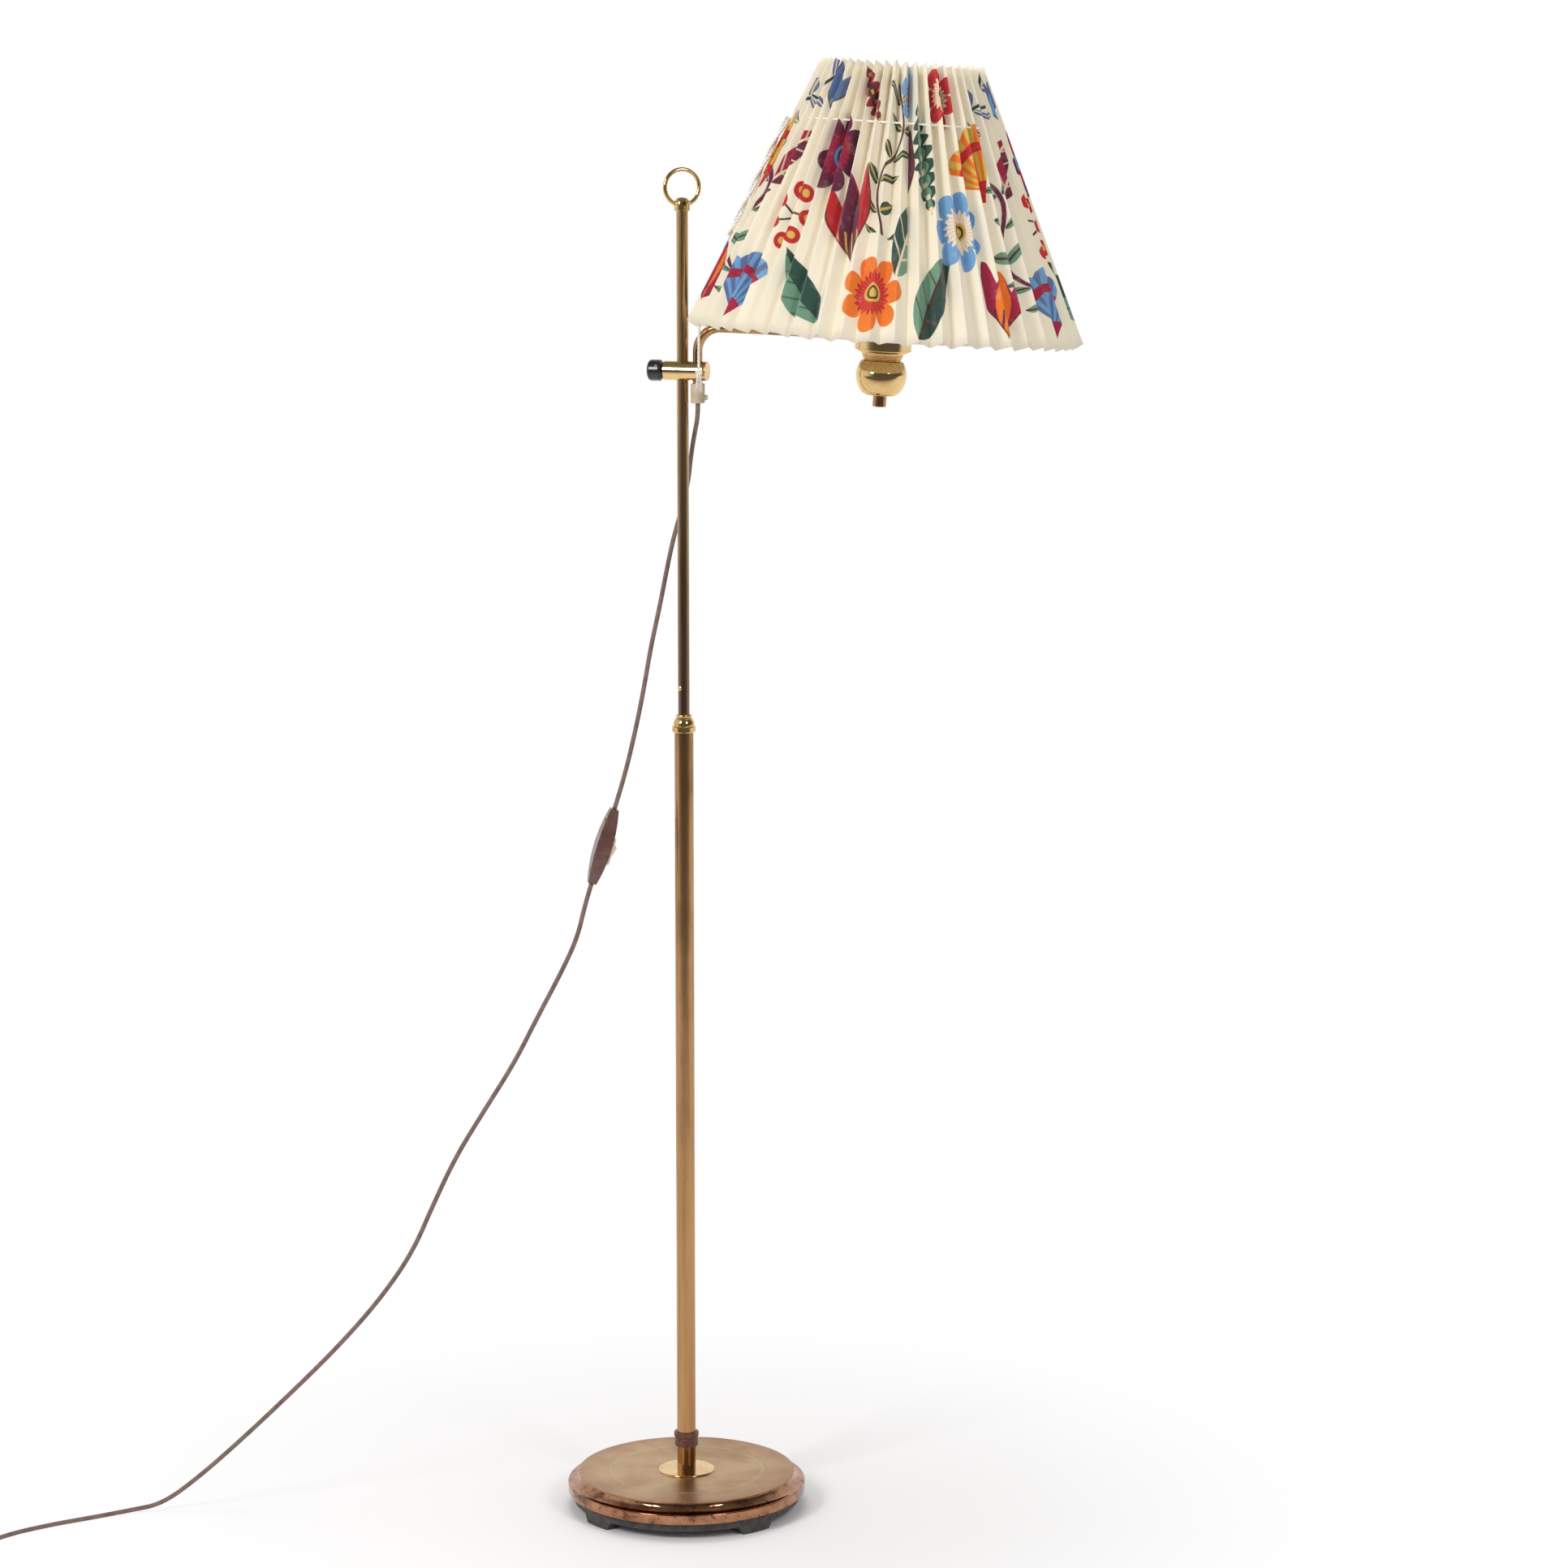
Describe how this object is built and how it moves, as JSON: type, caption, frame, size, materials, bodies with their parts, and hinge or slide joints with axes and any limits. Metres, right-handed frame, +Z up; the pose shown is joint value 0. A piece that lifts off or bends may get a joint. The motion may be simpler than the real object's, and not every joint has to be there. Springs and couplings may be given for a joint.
{
  "type": "bridge floor lamp",
  "caption": "Floor lamp with a round weighted foot, two-part brass column, sliding swivelling side arm with clamp knob, and a pleated cone shade.",
  "frame": {"origin": "middle of the foot, on the floor", "axes": "+Z up along the column, +X along the arm towards the shade"},
  "size_m": [1.1827, 0.6433, 1.534],
  "materials": {
    "black_plastic": "matt black moulded ring",
    "copper": "tarnished copper-coloured plating",
    "cast_iron": "rough casting",
    "brass_plate": "worn satin brass",
    "polished_brass": "polished",
    "steel": "zinc plated",
    "column_brass": "drawn tube, slightly dulled",
    "mast_brass": "tarnished drawn tube",
    "cord": "matt grey-brown sheath",
    "plug_plastic": "moulded",
    "plated_pins": "nickel plated",
    "brown_plastic": "moulded",
    "white_plastic": "moulded",
    "switch_plastic": "moulded brown",
    "cream_plastic": "moulded",
    "grip_plastic": "moulded cream",
    "holder_plastic": "moulded black",
    "bulb_metal": "bare",
    "opal_glass": "opal white",
    "shade_cloth": "printed pleated cotton",
    "white_wire": "white lacquer",
    "cotton": "twisted cotton",
    "knob_plastic": "moulded black"
  },
  "bodies": {
    "stand": {"foot_ring": "black_plastic", "base_shell": "copper", "base_weight": "cast_iron", "base_top_plate": "brass_plate", "base_flange": "polished_brass", "column_foot_plug": "steel", "tie_washer": "steel", "tie_nut": "steel", "lower_column": "column_brass", "column_collar": "polished_brass", "cord_lower": "cord", "cord_coil": "cord", "plug_relief": "plug_plastic", "plug_body": "plug_plastic", "plug_pins": "plated_pins"},
    "clip": {"cord_clip": "brown_plastic"},
    "mast": {"mast_tube": "mast_brass", "mast_bush": "white_plastic", "mast_cap": "polished_brass", "carry_ring": "polished_brass", "switch_back_shell": "switch_plastic", "switch_front_shell": "switch_plastic", "switch_screws": "steel", "rocker_bezel": "cream_plastic", "cord_upper": "cord"},
    "button": {"snap_button": "polished_brass"},
    "rocker": {"rocker": "cream_plastic"},
    "arm": {"clamp_barrel": "polished_brass", "arm_tube": "column_brass", "arm_wire": "cord", "cord_grip": "grip_plastic", "cord_grip_screw": "grip_plastic", "arm_hub": "polished_brass", "lower_rod": "steel", "upper_nipple": "steel", "head_cup": "polished_brass", "step_ring": "polished_brass", "head_neck": "polished_brass", "head_ball": "polished_brass", "ball_foot_disc": "polished_brass", "stem_nut": "column_brass", "lampholder_cap": "holder_plastic", "lampholder_body": "holder_plastic", "clamp_ring": "holder_plastic", "bulb_cap": "bulb_metal", "bulb_glass": "opal_glass", "shade": "shade_cloth", "shade_carrier": "white_wire", "shade_top_ring": "white_wire", "drawstring_loop": "cotton", "drawstring_tail": "cotton", "drawstring_knot": "cotton", "drawstring_bight": "cotton"},
    "knob": {"clamp_knob": "knob_plastic", "clamp_screw": "steel", "knob_grub_screw": "steel"}
  },
  "joints": [
    {"name": "mast_turn", "type": "hinge", "parent": "stand", "child": "mast", "pos_m": [0, 0, 0.8386], "axis": [0, 0, 1], "range_deg": [-170, 170]},
    {"name": "arm_slide", "type": "slide", "parent": "mast", "child": "arm", "axis": [0, 0, 1], "range_m": [-0.31, 0.12], "deforming": ["cord_upper"]},
    {"name": "knob_turn", "type": "hinge", "parent": "arm", "child": "knob", "pos_m": [-0.03, 0, 1.2153], "axis": [-1, 0, 0], "range_deg": [0, 540]},
    {"name": "button_press", "type": "slide", "parent": "mast", "child": "button", "axis": [0.3987, 0.9171, 0], "range_m": [0, 0.0014], "stiffness_N_per_m": 700, "springref_m": -0.0005},
    {"name": "rocker_tip", "type": "hinge", "parent": "mast", "child": "rocker", "pos_m": [-0.07549, -0.02124, 0.71194], "axis": [-0.4616, 0.8866, 0.029], "range_deg": [-14, 0]},
    {"name": "clip_slide", "type": "slide", "parent": "stand", "child": "clip", "axis": [0, 0, 1], "range_m": [-0.022, 0.74]}
  ]
}
